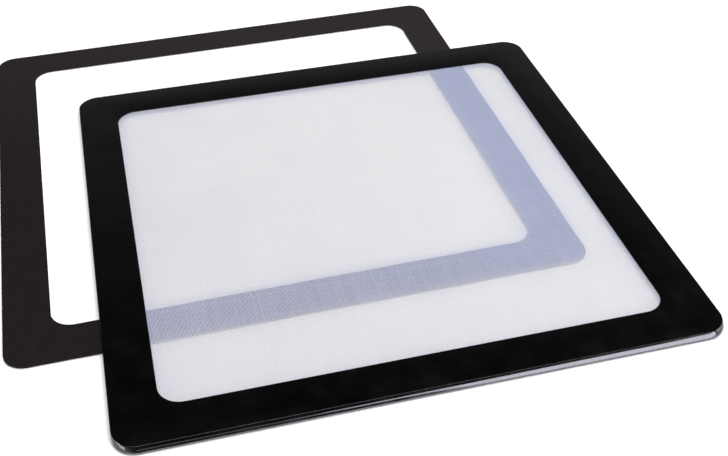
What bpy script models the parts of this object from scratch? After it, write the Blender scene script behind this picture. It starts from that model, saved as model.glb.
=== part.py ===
"""Magnetic dust filter for a 140 mm fan, lying on the frame that mounts it.

The filter is a soft PVC cover and tray that close on four magnet strips and hold a woven
mesh across their window. It lies over the front and right legs of its mounting frame, a
die-cut magnet sheet with an adhesive film and a paper liner below. Both are square, and
neither has a moving part. Metres, +Z up, origin at the middle of the set on the table.
"""
from math import cos, pi, radians, sin

import bmesh
import bpy

# Filter, seen from above
FILTER_SIDE = 0.162
FILTER_RIM = 0.0125
FILTER_OUTER_RADIUS = 0.0065
FILTER_WINDOW_RADIUS = 0.0063

# Filter, from its back face up
TRAY_FLOOR = 0.0002
MAGNET_THICKNESS = 0.0005
MESH_WEB_THICKNESS = 0.00005
THREAD_HEIGHT = 0.000045
COVER_SKIN = 0.0003
LIP_DROP = 0.0001
CROWN_HEIGHT = 0.00008

# Cover and tray section
COVER_WALL = 0.0012
TRAY_WALL = 0.001
LIP_OVERHANG = 0.0013
OUTER_EDGE_ROUND = 0.00015
LIP_ROUND = 0.00012

# How far the outer wall leans in, at its foot and at the edge: most on the front
SIDE_FOOT_SLOPE = radians(1)
SIDE_EDGE_SLOPE = radians(12)
FRONT_FOOT_SLOPE = radians(20)
FRONT_EDGE_SLOPE = radians(40)

# Magnet strips between the cover's wall and the tray's
MAGNET_PLAY = 0.00025

# Mesh threads, and the grid of pores, which opens a third of the sheet as the weave does
THREAD_PITCH = 0.0033
THREAD_WIDTH = 0.00165
THREADS_PER_PORE = 4
PORE_SIDE = 0.0077
MESH_PLAY = 0.0003

# Mounting frame, seen from above
MOUNT_SIDE = 0.164
MOUNT_RIM = 0.0128
MOUNT_OUTER_RADIUS = 0.006
MOUNT_WINDOW_RADIUS = 0.0061

# Mounting frame, from the table up
LINER_THICKNESS = 0.0001
ADHESIVE_THICKNESS = 0.00012
MOUNT_MAGNET_THICKNESS = 0.0005

# Where the mounting frame lies, from the filter's middle
MOUNT_SHIFT_X = -0.0253
MOUNT_SHIFT_Y = 0.0379
MOUNT_TURN = radians(0.75)

# Gaps between layers that are bonded, and below the filter that only lies on its mount
BOND_GAP = 0.00003
SEAT_GAP = 0.00005

CORNER_STEPS = 12
WALL_STEPS = 6
ROUND_STEPS = 4
CROWN_STEPS = 8

# Heights above the filter's back face
MAGNET_BOTTOM = TRAY_FLOOR + BOND_GAP
MAGNET_TOP = MAGNET_BOTTOM + MAGNET_THICKNESS
MESH_BOTTOM = MAGNET_TOP + BOND_GAP
MESH_TOP = MESH_BOTTOM + MESH_WEB_THICKNESS + 2 * THREAD_HEIGHT
COVER_CEILING = MESH_TOP + BOND_GAP
LIP_TOP = COVER_CEILING + COVER_SKIN
EDGE_TOP = LIP_TOP + LIP_DROP

# Heights above the table
ADHESIVE_BOTTOM = LINER_THICKNESS + BOND_GAP
MOUNT_MAGNET_BOTTOM = ADHESIVE_BOTTOM + ADHESIVE_THICKNESS + BOND_GAP
MOUNT_TOP = MOUNT_MAGNET_BOTTOM + MOUNT_MAGNET_THICKNESS

for old in list(bpy.data.objects):
    bpy.data.objects.remove(old, do_unlink=True)


def collection(name):
    made = bpy.data.collections.new(name)
    bpy.context.scene.collection.children.link(made)
    return made


PIECES = collection("fan_dust_filter")
CUTTERS = collection("cutters")


def place(name, x, y, z, turn=0.0):
    """An empty that carries the layers of one frame."""
    empty = bpy.data.objects.new(name, None)
    empty.location = (x, y, z)
    empty.rotation_euler = (0, 0, turn)
    empty.empty_display_size = 0.01
    PIECES.objects.link(empty)
    return empty


def piece(name, data, parent, height, color, roughness):
    """One real piece: an object on its frame's empty, with its own finish."""
    obj = bpy.data.objects.new(name, data)
    obj.parent = parent
    obj.location = (0, 0, height)
    PIECES.objects.link(obj)
    material = bpy.data.materials.new(name)
    material.use_nodes = True
    shader = material.node_tree.nodes["Principled BSDF"]
    shader.inputs["Base Color"].default_value = (*color, 1)
    shader.inputs["Roughness"].default_value = roughness
    shader.inputs["Metallic"].default_value = 0.0
    obj.data.materials.append(material)
    return obj


def corner_angles():
    """(corner, direction that the outline faces) of each point, from the front right round."""
    for corner in range(4):
        for step in range(CORNER_STEPS + 1):
            yield corner, -pi / 2 + (corner + step / CORNER_STEPS) * pi / 2


def rounded_square(half, radius, front_half=None):
    """A square outline with round corners; its front side may lie nearer than the others."""
    points = []
    for corner, angle in corner_angles():
        reach_y = half if corner in (1, 2) or front_half is None else front_half
        centre_x = (half - radius) * (1 if corner in (0, 1) else -1)
        centre_y = (reach_y - radius) * (1 if corner in (1, 2) else -1)
        points.append((centre_x + radius * cos(angle), centre_y + radius * sin(angle)))
    return points


def flat_curve(name, outlines, thickness):
    """A flat sheet with its outline and its holes, thickness centred on its own plane."""
    curve = bpy.data.curves.new(name, "CURVE")
    curve.dimensions = "2D"
    curve.fill_mode = "BOTH"
    curve.extrude = thickness / 2
    for outline in outlines:
        spline = curve.splines.new("POLY")
        spline.points.add(len(outline) - 1)
        for point, (x, y) in zip(spline.points, outline):
            point.co = (x, y, 0, 1)
        spline.use_cyclic_u = True
    return curve


def flat_ring(name, side, rim, outer_radius, window_radius, bottom, thickness, parent, color, roughness):
    """One flat layer of a frame."""
    outer = rounded_square(side / 2, outer_radius)
    window = rounded_square(side / 2 - rim, window_radius)
    curve = flat_curve(name, [outer, window], thickness)
    return piece(name, curve, parent, bottom + thickness / 2, color, roughness)


def arc(radius, start, end, steps):
    """Steps inwards and upwards along a round whose face turns from one slope to another."""
    points = []
    for step in range(steps + 1):
        slope = start + (end - start) * step / steps
        points.append((radius * (cos(start) - cos(slope)), radius * (sin(slope) - sin(start))))
    return points


def cover_section(foot_slope, edge_slope):
    """The cover's section as (inset from the outer edge, height), once round."""
    round_rise = OUTER_EDGE_ROUND * (1 - sin(edge_slope))
    wall_rise = EDGE_TOP - round_rise
    wall_radius = wall_rise / (sin(edge_slope) - sin(foot_slope))
    section = arc(wall_radius, foot_slope, edge_slope, WALL_STEPS)
    wall_inset = section[-1][0]
    for inset, rise in arc(OUTER_EDGE_ROUND, edge_slope, pi / 2, ROUND_STEPS)[1:]:
        section.append((wall_inset + inset, EDGE_TOP - round_rise + rise))
    crown_start = section[-1][0]
    crown_width = FILTER_RIM - crown_start - LIP_ROUND
    for step in range(1, CROWN_STEPS):
        share = step / CROWN_STEPS
        height = EDGE_TOP + CROWN_HEIGHT * sin(pi * share) - LIP_DROP * share ** 2
        section.append((crown_start + crown_width * share, height))
    for step in range(ROUND_STEPS + 1):
        angle = step / ROUND_STEPS * pi / 2
        inset = FILTER_RIM - LIP_ROUND * (1 - sin(angle))
        section.append((inset, LIP_TOP - LIP_ROUND * (1 - cos(angle))))
    section += [
        (FILTER_RIM, COVER_CEILING),
        (COVER_WALL, COVER_CEILING),
        (COVER_WALL, 0),
    ]
    return section


def tray_section():
    """The tray's section: a floor inside the cover's wall, with one wall near the window."""
    outer_edge = COVER_WALL + BOND_GAP
    window_edge = FILTER_RIM - LIP_OVERHANG
    return [
        (outer_edge, 0),
        (outer_edge, TRAY_FLOOR),
        (window_edge - TRAY_WALL, TRAY_FLOOR),
        (window_edge - TRAY_WALL, MAGNET_TOP),
        (window_edge, MAGNET_TOP),
        (window_edge, 0),
    ]


def filter_corner_radius(inset):
    """The corners change evenly from the outer radius to the window's."""
    share = inset / FILTER_RIM
    return FILTER_OUTER_RADIUS + (FILTER_WINDOW_RADIUS - FILTER_OUTER_RADIUS) * share


def carried_round(name, sides, front):
    """A section carried once round the filter, loop by loop, with its own form on the front."""
    bm = bmesh.new()
    loops = []
    half = FILTER_SIDE / 2
    for (inset, height), (front_inset, front_height) in zip(sides, front):
        outline = rounded_square(half - inset, filter_corner_radius(inset), half - front_inset)
        loop = []
        for (x, y), (_, angle) in zip(outline, corner_angles()):
            facing_front = max(0, -sin(angle))
            loop.append(bm.verts.new((x, y, height + (front_height - height) * facing_front)))
        loops.append(loop)
    for number, loop in enumerate(loops):
        before = loops[number - 1]
        for i in range(len(loop)):
            bm.faces.new((before[i - 1], before[i], loop[i], loop[i - 1]))
    mesh = bpy.data.meshes.new(name)
    bm.to_mesh(mesh)
    bm.free()
    mesh.shade_smooth()
    mesh.set_sharp_from_angle(angle=radians(50))
    return mesh


def make_cover(parent):
    sides = cover_section(SIDE_FOOT_SLOPE, SIDE_EDGE_SLOPE)
    front = cover_section(FRONT_FOOT_SLOPE, FRONT_EDGE_SLOPE)
    mesh = carried_round("filter_cover", sides, front)
    return piece(mesh.name, mesh, parent, 0, (0.004, 0.004, 0.005), 0.12)


def make_tray(parent):
    mesh = carried_round("filter_back_tray", tray_section(), tray_section())
    return piece(mesh.name, mesh, parent, 0, (0.006, 0.006, 0.007), 0.3)


def make_magnets(parent):
    """Four strips on the tray: front and back run between the corners, the others between them."""
    tray_wall_inset = FILTER_RIM - LIP_OVERHANG - TRAY_WALL
    strip_width = tray_wall_inset - COVER_WALL - 2 * MAGNET_PLAY
    strip_middle = FILTER_SIDE / 2 - (tray_wall_inset + COVER_WALL) / 2
    long_strip = FILTER_SIDE - 2 * (FILTER_OUTER_RADIUS + COVER_WALL)
    short_strip = 2 * (strip_middle - strip_width / 2 - MAGNET_PLAY)
    places = {
        "front": (0, -strip_middle, long_strip, strip_width),
        "back": (0, strip_middle, long_strip, strip_width),
        "left": (-strip_middle, 0, strip_width, short_strip),
        "right": (strip_middle, 0, strip_width, short_strip),
    }
    for side, (x, y, length_x, length_y) in places.items():
        mesh = box_mesh("filter_magnet_" + side, length_x, length_y, MAGNET_THICKNESS)
        height = MAGNET_BOTTOM + MAGNET_THICKNESS / 2
        strip = piece(mesh.name, mesh, parent, height, (0.03, 0.026, 0.024), 0.7)
        strip.location.xy = (x, y)


def box_mesh(name, length_x, length_y, length_z):
    bm = bmesh.new()
    bmesh.ops.create_cube(bm, size=1)
    bmesh.ops.scale(bm, verts=bm.verts, vec=(length_x, length_y, length_z))
    mesh = bpy.data.meshes.new(name)
    bm.to_mesh(mesh)
    bm.free()
    return mesh


def cutter(name, mesh, parent, x, y, z):
    obj = bpy.data.objects.new(name, mesh)
    obj.parent = parent
    obj.location = (x, y, z)
    obj.hide_render = True
    obj.display_type = "WIRE"
    CUTTERS.objects.link(obj)
    return obj


def repeat(obj, axis, count, pitch):
    array = obj.modifiers.new("Repeat", "ARRAY")
    array.use_relative_offset = False
    array.use_constant_offset = True
    array.constant_offset_displace = (pitch, 0, 0) if axis == "x" else (0, pitch, 0)
    array.count = count


def combine(obj, operation, other):
    boolean = obj.modifiers.new(operation.title(), "BOOLEAN")
    boolean.operation = operation
    boolean.solver = "EXACT"
    boolean.object = other


def sheet_outline(name, parent, side, radius, thickness):
    """A closed mesh of a flat sheet, for cutting others to its outline."""
    curve = flat_curve(name, [rounded_square(side / 2, radius)], thickness)
    drawn = bpy.data.objects.new(name, curve)
    CUTTERS.objects.link(drawn)
    mesh = bpy.data.meshes.new_from_object(drawn.evaluated_get(bpy.context.evaluated_depsgraph_get()))
    bpy.data.objects.remove(drawn, do_unlink=True)
    bm = bmesh.new()
    bm.from_mesh(mesh)
    bmesh.ops.remove_doubles(bm, verts=bm.verts, dist=0.000001)
    bm.to_mesh(mesh)
    bm.free()
    return cutter(name, mesh, parent, 0, 0, 0)


def make_mesh(parent):
    """The woven sheet: a web with warp threads above, weft threads below and pores between."""
    sheet_side = FILTER_SIDE - 2 * COVER_WALL - 2 * MESH_PLAY
    sheet_radius = filter_corner_radius(COVER_WALL + MESH_PLAY)
    web_middle = MESH_BOTTOM + THREAD_HEIGHT + MESH_WEB_THICKNESS / 2
    blank_side = sheet_side + 2 * THREAD_PITCH
    web = box_mesh("filter_mesh", blank_side, blank_side, MESH_WEB_THICKNESS)
    sheet = piece("filter_mesh", web, parent, web_middle, (0.75, 0.75, 0.8), 0.5)

    thread_count = 2 * int(sheet_side / THREAD_PITCH / 2)
    first_thread = -(thread_count - 1) / 2 * THREAD_PITCH
    thread_length = blank_side + 2 * THREAD_PITCH
    thread_depth = THREAD_HEIGHT + MESH_WEB_THICKNESS / 2
    warp_mesh = box_mesh("warp", thread_length, THREAD_WIDTH, thread_depth)
    warp = cutter("warp_threads", warp_mesh, parent, 0, first_thread, web_middle + thread_depth / 2)
    repeat(warp, "y", thread_count, THREAD_PITCH)
    weft_mesh = box_mesh("weft", THREAD_WIDTH, thread_length, thread_depth)
    weft = cutter("weft_threads", weft_mesh, parent, first_thread, 0, web_middle - thread_depth / 2)
    repeat(weft, "x", thread_count, THREAD_PITCH)

    window = FILTER_SIDE - 2 * FILTER_RIM
    pore_pitch = THREADS_PER_PORE * THREAD_PITCH
    pore_count = int(window / pore_pitch)
    first_pore = -(pore_count - 1) / 2 * pore_pitch
    pore_mesh = box_mesh("pore", PORE_SIDE, PORE_SIDE, 4 * thread_depth)
    pores = cutter("pores", pore_mesh, parent, first_pore, first_pore, web_middle)
    repeat(pores, "x", pore_count, pore_pitch)
    repeat(pores, "y", pore_count, pore_pitch)

    outline = sheet_outline("mesh_outline", parent, sheet_side, sheet_radius, 6 * thread_depth)
    outline.location.z = web_middle
    combine(sheet, "UNION", warp)
    combine(sheet, "UNION", weft)
    combine(sheet, "INTERSECT", outline)
    combine(sheet, "DIFFERENCE", pores)
    return sheet


def make_filter(parent):
    make_tray(parent)
    make_magnets(parent)
    make_mesh(parent)
    make_cover(parent)


def make_mounting_frame(parent):
    layers = [
        ("mounting_release_liner", 0, LINER_THICKNESS, (0.72, 0.68, 0.6), 0.6),
        ("mounting_adhesive", ADHESIVE_BOTTOM, ADHESIVE_THICKNESS, (0.6, 0.6, 0.55), 0.35),
        ("mounting_magnet_frame", MOUNT_MAGNET_BOTTOM, MOUNT_MAGNET_THICKNESS, (0.022, 0.017, 0.018), 0.75),
    ]
    for name, bottom, thickness, color, roughness in layers:
        flat_ring(
            name, MOUNT_SIDE, MOUNT_RIM, MOUNT_OUTER_RADIUS, MOUNT_WINDOW_RADIUS,
            bottom, thickness, parent, color, roughness,
        )


def turned_reach(side, radius, turn):
    """How far a turned square with round corners reaches from its middle."""
    return (side / 2 - radius) * (cos(turn) + abs(sin(turn))) + radius


def middle_between(filter_reach, mount_reach, shift):
    """The middle of both frames together along one axis, from the filter's middle."""
    low = min(-filter_reach, shift - mount_reach)
    high = max(filter_reach, shift + mount_reach)
    return (low + high) / 2


filter_reach = FILTER_SIDE / 2
mount_reach = turned_reach(MOUNT_SIDE, MOUNT_OUTER_RADIUS, MOUNT_TURN)
middle_x = middle_between(filter_reach, mount_reach, MOUNT_SHIFT_X)
middle_y = middle_between(filter_reach, mount_reach, MOUNT_SHIFT_Y)

mount_place = place("mounting_frame", MOUNT_SHIFT_X - middle_x, MOUNT_SHIFT_Y - middle_y, 0, MOUNT_TURN)
filter_place = place("filter", -middle_x, -middle_y, MOUNT_TOP + SEAT_GAP)
make_mounting_frame(mount_place)
make_filter(filter_place)
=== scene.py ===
"""A magnetic dust filter for a computer case fan, lying on its stick-on mounting frame."""
from math import cos, pi, radians, sin

import bmesh
import bpy
import numpy as np
from mathutils import Matrix, Vector, noise


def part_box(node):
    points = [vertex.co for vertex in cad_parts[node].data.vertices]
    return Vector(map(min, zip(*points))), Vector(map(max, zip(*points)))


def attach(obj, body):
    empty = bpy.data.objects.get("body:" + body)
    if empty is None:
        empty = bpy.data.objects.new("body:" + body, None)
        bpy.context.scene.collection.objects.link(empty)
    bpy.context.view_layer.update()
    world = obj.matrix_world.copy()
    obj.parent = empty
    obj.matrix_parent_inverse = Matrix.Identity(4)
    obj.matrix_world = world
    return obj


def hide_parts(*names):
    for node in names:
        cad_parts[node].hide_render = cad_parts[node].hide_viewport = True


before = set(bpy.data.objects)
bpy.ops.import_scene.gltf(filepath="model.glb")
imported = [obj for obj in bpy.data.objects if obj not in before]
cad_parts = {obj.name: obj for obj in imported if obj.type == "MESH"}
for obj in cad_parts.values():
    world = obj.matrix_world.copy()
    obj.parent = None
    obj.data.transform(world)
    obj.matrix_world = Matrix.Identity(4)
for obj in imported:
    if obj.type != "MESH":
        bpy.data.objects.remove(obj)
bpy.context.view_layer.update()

# Cover of the filter: one moulding of soft black PVC with a high gloss, open below. Its
# outer wall stands up at the sides and the back and leans in on the front, and its top is
# a little crowned. It is welded round the tray, and its window is cut, with a dull edge.
cover_low, cover_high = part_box("filter_cover")
filter_x = (cover_low.x + cover_high.x) / 2
filter_y = (cover_low.y + cover_high.y) / 2
filter_side = cover_high.x - cover_low.x
foot_height = cover_low.z
rim = 0.0125
outer_corner = 0.0065
window_corner = 0.0063
wall_thickness = 0.0012
skin = 0.0003
weld_gap = 0.00003
lip_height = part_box("filter_mesh")[1].z + weld_gap + skin
ceiling = lip_height - skin
lip_drop = 0.0001
lip_drop_power = 4
edge_height = lip_height + lip_drop
crown_rise = 0.00008
lip_round = 0.00012
edge_round = 0.00006
side_slopes = radians(1), radians(12)
front_slopes = radians(24), radians(42)
wall_steps = 14
edge_steps = 10
crown_steps = 24
lip_steps = 6
inner_loops = 3
corner_steps = 24
side_steps = 48
waver_depth = 0.00003
waver_size = 0.022
waver_seed = 3.0
waver_margin = 0.0001
sharpest_smooth = radians(40)


def outline_round(half, radius, front_half):
    """(x, y, how much it faces the front) along a square with round corners."""
    corners = []
    for corner in range(4):
        side_x = 1 if corner in (0, 1) else -1
        reach_y, side_y = (half, 1) if corner in (1, 2) else (front_half, -1)
        for step in range(corner_steps + 1):
            angle = -pi / 2 + (corner + step / corner_steps) * pi / 2
            x = side_x * (half - radius) + radius * cos(angle)
            y = side_y * (reach_y - radius) + radius * sin(angle)
            corners.append((x, y, max(0.0, -sin(angle))))
    outline = []
    for number, (x, y, facing) in enumerate(corners):
        outline.append((x, y, facing))
        if number % (corner_steps + 1) == corner_steps:
            next_x, next_y, _ = corners[(number + 1) % len(corners)]
            for step in range(1, side_steps):
                share = step / side_steps
                outline.append((x + (next_x - x) * share, y + (next_y - y) * share, facing))
    return outline


def swell(radius, start, end, steps):
    """Steps inwards and upwards along a round whose face turns from one slope to another."""
    for step in range(steps + 1):
        slope = start + (end - start) * step / steps
        yield radius * (cos(start) - cos(slope)), radius * (sin(slope) - sin(start))


def cover_profile(foot_slope, edge_slope):
    """(inset from the outer edge, height) once round the cover's section, from its foot."""
    round_rise = edge_round * (1 - sin(edge_slope))
    wall_rise = edge_height - foot_height - round_rise
    wall_radius = wall_rise / (sin(edge_slope) - sin(foot_slope))
    wall = swell(wall_radius, foot_slope, edge_slope, wall_steps)
    profile = [(inset, foot_height + rise) for inset, rise in wall]
    wall_inset = profile[-1][0]
    for inset, rise in list(swell(edge_round, edge_slope, pi / 2, edge_steps))[1:]:
        profile.append((wall_inset + inset, edge_height - round_rise + rise))
    crown_start = profile[-1][0]
    crown_width = rim - crown_start - lip_round
    for step in range(1, crown_steps):
        share = step / crown_steps
        height = edge_height + crown_rise * sin(pi * share) - lip_drop * share ** lip_drop_power
        profile.append((crown_start + crown_width * share, height))
    for step in range(lip_steps + 1):
        angle = step / lip_steps * pi / 2
        inset = rim - lip_round * (1 - sin(angle))
        profile.append((inset, lip_height - lip_round * (1 - cos(angle))))
    return profile + [(rim, ceiling), (wall_thickness, ceiling), (wall_thickness, foot_height)]


def wavering(x, y):
    """A slow waver of the soft skin, from -1 to 1."""
    return noise.noise(Vector((x / waver_size, y / waver_size, waver_seed)))


def carried_round(name, loops, first_dull):
    """A closed band through loops of points, glossy at first and dull from one loop to the last."""
    band = bmesh.new()
    rings = [[band.verts.new(point) for point in loop] for loop in loops]
    for number, ring in enumerate(rings):
        before = rings[number - 1]
        for i in range(len(ring)):
            face = band.faces.new((before[i - 1], before[i], ring[i], ring[i - 1]))
            face.smooth = True
            face.material_index = int(number >= first_dull)
    data = bpy.data.meshes.new(name)
    band.to_mesh(data)
    band.free()
    data.set_sharp_from_angle(angle=sharpest_smooth)
    piece = bpy.data.objects.new(name, data)
    bpy.context.scene.collection.objects.link(piece)
    return piece


cover_loops = []
for side_point, front_point in zip(cover_profile(*side_slopes), cover_profile(*front_slopes)):
    inset, height = side_point
    front_inset, front_height = front_point
    radius = outer_corner + (window_corner - outer_corner) * inset / rim
    loop = []
    for x, y, facing in outline_round(filter_side / 2 - inset, radius, filter_side / 2 - front_inset):
        level = height + (front_height - height) * facing
        if level > ceiling + waver_margin:
            level += waver_depth * wavering(x, y)
        loop.append((filter_x + x, filter_y + y, level))
    cover_loops.append(loop)
cover = carried_round("filter_cover_gloss", cover_loops, len(cover_loops) - inner_loops - lip_steps)


def finish_of(name, specular, roughness=None):
    """A finish with nothing in it yet but its shader, and its roughness where that is even."""
    material = bpy.data.materials.new(name)
    material.use_nodes = True
    shader = material.node_tree.nodes["Principled BSDF"]
    shader.inputs["Specular IOR Level"].default_value = specular
    if roughness is not None:
        shader.inputs["Roughness"].default_value = roughness
    return material, material.node_tree, shader


def grain(tree, scale, detail, stretch=(1, 1, 1)):
    """A noise that stays put on the piece; its scale is in patches to the metre."""
    where = tree.nodes.new("ShaderNodeTexCoord")
    mapping = tree.nodes.new("ShaderNodeMapping")
    mapping.inputs["Scale"].default_value = stretch
    made = tree.nodes.new("ShaderNodeTexNoise")
    made.inputs["Scale"].default_value = scale
    made.inputs["Detail"].default_value = detail
    tree.links.new(where.outputs["Object"], mapping.inputs["Vector"])
    tree.links.new(mapping.outputs["Vector"], made.inputs["Vector"])
    return made.outputs["Fac"]


grain_low = 0.3
grain_high = 0.7
first_tone_to = 0.35
second_tone_from = 0.65


def between(tree, low, high, scale, detail):
    """A number that follows a grain from one value to another."""
    span = tree.nodes.new("ShaderNodeMapRange")
    span.inputs["From Min"].default_value = grain_low
    span.inputs["From Max"].default_value = grain_high
    span.inputs["To Min"].default_value = low
    span.inputs["To Max"].default_value = high
    tree.links.new(grain(tree, scale, detail), span.inputs["Value"])
    return span.outputs["Result"]


def two_tones(tree, first, second, scale, detail, stretch=(1, 1, 1)):
    """A colour that follows a grain from one tone to another."""
    ramp = tree.nodes.new("ShaderNodeValToRGB")
    ramp.color_ramp.elements[0].position = first_tone_to
    ramp.color_ramp.elements[0].color = (*first, 1)
    ramp.color_ramp.elements[1].position = second_tone_from
    ramp.color_ramp.elements[1].color = (*second, 1)
    tree.links.new(grain(tree, scale, detail, stretch), ramp.inputs["Fac"])
    return ramp.outputs["Color"]


def bumps(tree, strength, distance, scale, detail, stretch=(1, 1, 1), under=None):
    """Fine unevenness of a surface, on top of a coarser one where there is one."""
    bump = tree.nodes.new("ShaderNodeBump")
    bump.inputs["Strength"].default_value = strength
    bump.inputs["Distance"].default_value = distance
    tree.links.new(grain(tree, scale, detail, stretch), bump.inputs["Height"])
    if under:
        tree.links.new(under, bump.inputs["Normal"])
    return bump.outputs["Normal"]


def dress(tree, shader, tone, relief=None, roughness=None):
    """Leads a finish's tone, relief and roughness to its shader, as far as it has them."""
    tree.links.new(tone, shader.inputs["Base Color"])
    if relief:
        tree.links.new(relief, shader.inputs["Normal"])
    if roughness:
        tree.links.new(roughness, shader.inputs["Roughness"])


gloss, tree, shader = finish_of("glossy black PVC", specular=0.9)
slow = bumps(tree, strength=0.18, distance=0.0006, scale=45, detail=1)
dress(
    tree, shader,
    tone=two_tones(tree, (0.0008, 0.0008, 0.0010), (0.0014, 0.0014, 0.0017), scale=90, detail=3),
    relief=bumps(tree, strength=0.08, distance=0.00002, scale=1400, detail=2, under=slow),
    roughness=between(tree, 0.07, 0.15, scale=160, detail=4),
)

cut, tree, shader = finish_of("cut edge of black PVC", specular=0.15, roughness=0.7)
dress(
    tree, shader,
    tone=two_tones(
        tree, (0.002, 0.002, 0.002), (0.005, 0.005, 0.005), scale=900, detail=4, stretch=(1, 1, 6),
    ),
    relief=bumps(tree, strength=0.5, distance=0.00004, scale=2500, detail=3, stretch=(1, 1, 5)),
)

cover.data.materials.append(gloss)
cover.data.materials.append(cut)
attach(cover, "root")
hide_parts("filter_cover")

# Mesh: fine white nylon monofilament, woven two over and two under and pressed flat. It is
# one sheet, stretched and held all round between the cover and the tray. The threads are
# milky: they send some of the light on and scatter most of the blue back.
mesh_low, mesh_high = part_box("filter_mesh")
mesh_height = (mesh_low.z + mesh_high.z) / 2
thread_pitch = 0.00034
thread_width = 0.000146
thread_swing = 0.000016
thread_total = 412
threads_passed = 2
place_spread = 0.03
width_spread = 0.06
loom = np.random.default_rng(7)


def woven_threads(name, runs_along_x):
    """All threads of one direction, each over two of the others and then under two."""
    turns = thread_total // threads_passed
    thread, turn = np.meshgrid(np.arange(thread_total), np.arange(turns), indexing="ij")
    crossing = threads_passed * turn + 0.5 - thread % threads_passed
    over = np.where((thread + crossing) % (2 * threads_passed) < 1, 1, -1)
    middle = (thread - (thread_total - 1) / 2) * thread_pitch
    middle = middle + loom.normal(0, place_spread * thread_pitch, thread_total)[thread]
    half = thread_width / 2 * (1 + width_spread * loom.normal(0, 1, thread_total)[thread])
    along = (crossing - (thread_total - 1) / 2) * thread_pitch
    height = mesh_height + thread_swing * over * (1 if runs_along_x else -1)
    if runs_along_x:
        sides = [(along, middle - half), (along, middle + half)]
    else:
        sides = [(middle + half, along), (middle - half, along)]
    corners = [np.stack([filter_x + x, filter_y + y, height], axis=-1) for x, y in sides]
    points = np.stack(corners, axis=2).reshape(-1, 3)
    start = (thread * turns + turn)[:, :-1].reshape(-1) * 2
    faces = np.stack([start, start + 2, start + 3, start + 1], axis=-1)
    data = bpy.data.meshes.new(name)
    data.from_pydata(points.tolist(), [], faces.tolist())
    threads = bpy.data.objects.new(name, data)
    bpy.context.scene.collection.objects.link(threads)
    return threads


warp = woven_threads("mesh_warp_threads", True)
weft = woven_threads("mesh_weft_threads", False)


def blend_across(tree, first, second, low, high):
    """One colour that turns into another from the front left of the set to its back right, for painted
    light across a piece.
    """
    where = tree.nodes.new("ShaderNodeTexCoord")
    across = tree.nodes.new("ShaderNodeVectorMath")
    across.operation = "DOT_PRODUCT"
    across.inputs[1].default_value = (1, 1, 0)
    share = tree.nodes.new("ShaderNodeMapRange")
    share.inputs["From Min"].default_value = low
    share.inputs["From Max"].default_value = high
    tones = tree.nodes.new("ShaderNodeMix")
    tones.data_type = "RGBA"
    tree.links.new(where.outputs["Object"], across.inputs[0])
    tree.links.new(across.outputs["Value"], share.inputs["Value"])
    tree.links.new(share.outputs["Result"], tones.inputs["Factor"])
    tree.links.new(first, tones.inputs["A"])
    tree.links.new(second, tones.inputs["B"])
    return tones.outputs["Result"]


# The threads' colour, both the tone they show and the tone they send on, is painted greyer at the front
# left and bluer at the back right: a painted change of the light across the sheet.
nylon_painted_light_span = {"low": -0.06, "high": 0.04}
share_sent_on = 0.3
nylon, tree, shader = finish_of("milky nylon thread", specular=0.2, roughness=0.45)
greyer_painted_front_left = two_tones(tree, (0.58, 0.61, 0.80), (0.60, 0.63, 0.82), scale=30, detail=2)
bluer_painted_back_right = two_tones(tree, (0.565, 0.625, 0.91), (0.585, 0.645, 0.93), scale=30, detail=2)
dress(tree, shader, tone=blend_across(tree, greyer_painted_front_left, bluer_painted_back_right, **nylon_painted_light_span))

through = tree.nodes.new("ShaderNodeBsdfTranslucent")
through_greyer_painted_front_left = two_tones(tree, (0.83, 0.74, 0.29), (0.87, 0.77, 0.32), scale=60, detail=2)
through_bluer_painted_back_right = two_tones(tree, (0.98, 0.82, 0.07), (1.0, 0.85, 0.09), scale=60, detail=2)
through_tone = blend_across(tree, through_greyer_painted_front_left, through_bluer_painted_back_right, **nylon_painted_light_span)
tree.links.new(through_tone, through.inputs["Color"])

milkiness = tree.nodes.new("ShaderNodeMixShader")
milkiness.inputs["Fac"].default_value = share_sent_on
tree.links.new(shader.outputs["BSDF"], milkiness.inputs[1])
tree.links.new(through.outputs["BSDF"], milkiness.inputs[2])
tree.links.new(milkiness.outputs["Shader"], tree.nodes["Material Output"].inputs["Surface"])

for threads in (warp, weft):
    threads.data.materials.append(nylon)
    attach(threads, "root")
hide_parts("filter_mesh")


# Tray of the filter: black PVC like the cover, smooth and less glossy, with one wall round
# the window. It carries the magnets, and its flat floor lies against the case.
def put_on(material, *nodes):
    """Puts a finish on the solids that stay as the CAD model has them."""
    for node in nodes:
        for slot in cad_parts[node].material_slots:
            slot.material = material


back_pvc, tree, shader = finish_of("smooth black PVC", specular=0.5)
slow = bumps(tree, strength=0.25, distance=0.0004, scale=60, detail=2)
dress(
    tree, shader,
    tone=two_tones(tree, (0.004, 0.004, 0.0045), (0.007, 0.007, 0.008), scale=120, detail=3),
    relief=bumps(tree, strength=0.15, distance=0.00003, scale=2200, detail=3, under=slow),
    roughness=between(tree, 0.24, 0.38, scale=260, detail=4),
)
put_on(back_pvc, "filter_back_tray")

# Magnet strips in the tray: four lengths of flexible magnet, rubber filled with ferrite,
# laid loose between the corners. They are closed in, and only a cut filter shows them.
magnet, tree, shader = finish_of("flexible magnet strip", specular=0.3, roughness=0.65)
dress(
    tree, shader,
    tone=two_tones(tree, (0.022, 0.019, 0.017), (0.036, 0.031, 0.028), scale=1500, detail=5),
    relief=bumps(tree, strength=0.4, distance=0.00005, scale=3000, detail=4),
)
put_on(
    magnet, "filter_magnet_front", "filter_magnet_back", "filter_magnet_left", "filter_magnet_right",
)

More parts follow.
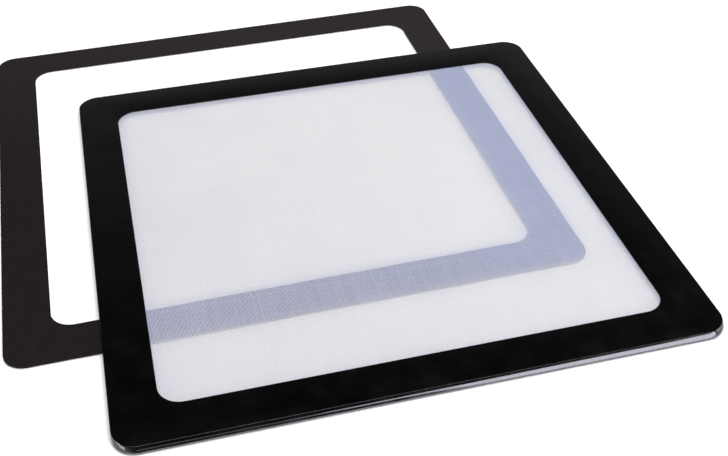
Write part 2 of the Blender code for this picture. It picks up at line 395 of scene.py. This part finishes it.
# Mounting frame: a square ring die-cut from matt flexible magnet sheet, with an adhesive
# film under it and a paper liner that stays on until the frame is stuck to a case.
sheet_magnet, tree, shader = finish_of("matt magnet sheet", specular=0.12)
# The sheet's colour turns from a painted shade at the front left to a painted sheen at the back right,
# where the light falls brighter on it.
painted_shade_tone = two_tones(
    tree, (0.0062, 0.0030, 0.0042), (0.0078, 0.0044, 0.0058), scale=700, detail=6,
)
painted_sheen_tone = two_tones(
    tree, (0.0130, 0.0092, 0.0104), (0.0160, 0.0120, 0.0132), scale=500, detail=6,
)
dress(
    tree, shader,
    tone=blend_across(tree, painted_shade_tone, painted_sheen_tone, low=-0.06, high=0.07),
    relief=bumps(tree, strength=0.3, distance=0.00005, scale=3200, detail=4),
    roughness=between(tree, 0.45, 0.58, scale=350, detail=4),
)
put_on(sheet_magnet, "mounting_magnet_frame")

glue, tree, shader = finish_of("clear adhesive film", specular=0.5, roughness=0.35)
dress(tree, shader, tone=two_tones(tree, (0.52, 0.52, 0.47), (0.62, 0.62, 0.57), scale=200, detail=3))
put_on(glue, "mounting_adhesive")

liner, tree, shader = finish_of("coated release paper", specular=0.4, roughness=0.55)
dress(
    tree, shader,
    tone=two_tones(
        tree, (0.62, 0.60, 0.56), (0.7, 0.68, 0.64), scale=420, detail=6, stretch=(1, 3, 1),
    ),
    relief=bumps(tree, strength=0.25, distance=0.00004, scale=1800, detail=5, stretch=(1, 4, 1)),
)
put_on(liner, "mounting_release_liner")

# Table: a wide, plain, pale top that runs out of the picture on every side. It lies a hair
# below the mounting frame's liner, so that no two faces share a plane.
table_gap = 0.00002
table_mesh = bmesh.new()
bmesh.ops.create_circle(table_mesh, cap_ends=True, radius=5, segments=96)
table_data = bpy.data.meshes.new("table_top")
table_mesh.to_mesh(table_data)
table_mesh.free()
table = bpy.data.objects.new("table_top", table_data)
table.location.z = -table_gap
bpy.context.scene.collection.objects.link(table)
white, _, shader = finish_of("plain pale table", specular=0.1, roughness=0.9)
shader.inputs["Base Color"].default_value = (0.93, 0.93, 0.93, 1)
table_data.materials.append(white)

# Light: a wide soft box above, and a low one at the front right that shows in the filter's
# front wall. Two small ones further left show in the wall there, and one at the right and
# one at the left light the corners.
aim = Vector((filter_x, filter_y, 0))
lavender = (0.97, 0.93, 1.08)


def direction(turn, lift):
    """Away from the filter, turned to the right from its front and lifted from the table."""
    return Vector((sin(turn) * cos(lift), -cos(turn) * cos(lift), sin(lift)))


def soft_box(name, azimuth, elevation, width, height, brightness, distance=1.2, roll=0, tint=(1, 1, 1)):
    """A soft box that faces the filter. Its brightness is beside a white of 1."""
    lamp = bpy.data.lights.new(name, "AREA")
    lamp.shape = "RECTANGLE"
    lamp.size = width
    lamp.size_y = height
    lamp.energy = brightness * pi * width * height
    lamp.color = tint
    box = bpy.data.objects.new(name, lamp)
    away = direction(radians(azimuth), radians(elevation))
    facing = away.to_track_quat("Z", "Y").to_matrix().to_4x4()
    tilt = Matrix.Rotation(radians(roll), 4, "Z")
    box.matrix_world = Matrix.Translation(aim + away * distance) @ facing @ tilt
    box.visible_camera = False
    bpy.context.scene.collection.objects.link(box)


soft_box("soft_box_above", 90, 81, width=1.4, height=1.4, brightness=5.4, distance=1.5)
soft_box(
    "soft_box_front_right", 32, 10.5, width=0.826, height=0.467, brightness=7.0, roll=13, tint=lavender,
)
soft_box("strip_beside_it", 8.5, 14, width=0.12, height=0.1, brightness=5.0, roll=10, tint=lavender)
soft_box("strip_front", -6, 13, width=0.5, height=0.08, brightness=1.2)
soft_box("soft_box_right", 78, 16, width=0.8, height=0.5, brightness=2.5)
soft_box("soft_box_left", -80, 5, width=1.1, height=0.25, brightness=4.5)

# Room: dark overhead and lighter towards the horizon, and nearly dark behind the camera,
# so that the gloss on top stays black and the front wall shows little but the soft boxes.
room_steps = [(0.0, 0.8), (0.17, 0.6), (0.42, 0.17), (0.54, 0.07), (0.68, 0.012), (1.0, 0.0)]
room_blueness = 1.04
darkest_front = 0.06
dark_up_to = -0.97
light_from = -0.6
room = bpy.data.worlds.new("room")
room.use_nodes = True
bpy.context.scene.world = room
tree = room.node_tree
where = tree.nodes.new("ShaderNodeTexCoord")
parts = tree.nodes.new("ShaderNodeSeparateXYZ")
ramp = tree.nodes.new("ShaderNodeValToRGB")
tree.links.new(where.outputs["Generated"], parts.inputs["Vector"])
tree.links.new(parts.outputs["Z"], ramp.inputs["Fac"])
ramp.color_ramp.elements[0].position = room_steps[0][0]
ramp.color_ramp.elements[1].position = room_steps[-1][0]
for position, _ in room_steps[1:-1]:
    ramp.color_ramp.elements.new(position)
for element, (position, light) in zip(ramp.color_ramp.elements, room_steps):
    element.color = (light, light, light * room_blueness, 1)
frontness = tree.nodes.new("ShaderNodeMapRange")
frontness.interpolation_type = "SMOOTHSTEP"
frontness.inputs["From Min"].default_value = dark_up_to
frontness.inputs["From Max"].default_value = light_from
frontness.inputs["To Min"].default_value = darkest_front
dimmed = tree.nodes.new("ShaderNodeMix")
dimmed.data_type = "RGBA"
dimmed.inputs["A"].default_value = (0, 0, 0, 1)
tree.links.new(parts.outputs["Y"], frontness.inputs["Value"])
tree.links.new(frontness.outputs["Result"], dimmed.inputs["Factor"])
tree.links.new(ramp.outputs["Color"], dimmed.inputs["B"])
tree.links.new(dimmed.outputs["Result"], tree.nodes["Background"].inputs["Color"])

# Camera: above and to the left of the front edge, looking down at the filter, with the
# turn, lens and distance that fit the outlines of both frames.
camera_turn = radians(-14.093)
camera_lift = radians(38.787)
camera_roll = radians(-0.60)
camera_distance = 0.3186
target_left = 0.00246
target_front = 0.01407
camera_target = Vector((filter_x - target_left, filter_y - target_front, edge_height))
away = direction(camera_turn, camera_lift)
sideways = Vector((cos(camera_turn), sin(camera_turn), 0))
upright = away.cross(sideways)
right = cos(camera_roll) * sideways + sin(camera_roll) * upright
up = cos(camera_roll) * upright - sin(camera_roll) * sideways
lens = bpy.data.cameras.new("camera")
lens.lens = 53.25
lens.sensor_width = 36
lens.clip_start = 0.01
camera = bpy.data.objects.new("camera", lens)
facing = Matrix((right, up, away)).transposed().to_4x4()
camera.matrix_world = Matrix.Translation(camera_target + away * camera_distance) @ facing
bpy.context.scene.collection.objects.link(camera)
bpy.context.scene.camera = camera
bpy.context.scene.view_settings.view_transform = "Standard"
